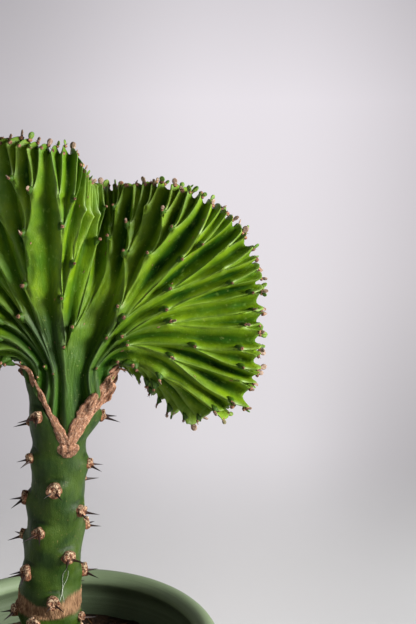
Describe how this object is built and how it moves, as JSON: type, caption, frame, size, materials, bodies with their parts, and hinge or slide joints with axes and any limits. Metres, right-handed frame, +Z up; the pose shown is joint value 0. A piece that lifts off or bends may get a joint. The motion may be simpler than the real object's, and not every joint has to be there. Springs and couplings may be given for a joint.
{
  "type": "potted coral cactus",
  "caption": "Crested coral cactus scion with a folded fan, grafted into a V cut on a spiny rootstock, in a round matte pot of potting mix.",
  "frame": {"origin": "centre of the pot's underside", "axes": "+Z up along the pot's axis; the crest's broad face looks along -Y, with +X to its right"},
  "size_m": [0.1636, 0.125, 0.3157],
  "materials": {
    "pot": "matte",
    "soil": "rough",
    "rootstock": "satin",
    "graft_callus": "rough",
    "crest": "satin"
  },
  "bodies": {
    "root": {"pot": "pot", "soil": "soil", "rootstock": "rootstock", "graft_callus": "graft_callus", "crest": "crest"}
  },
  "joints": []
}
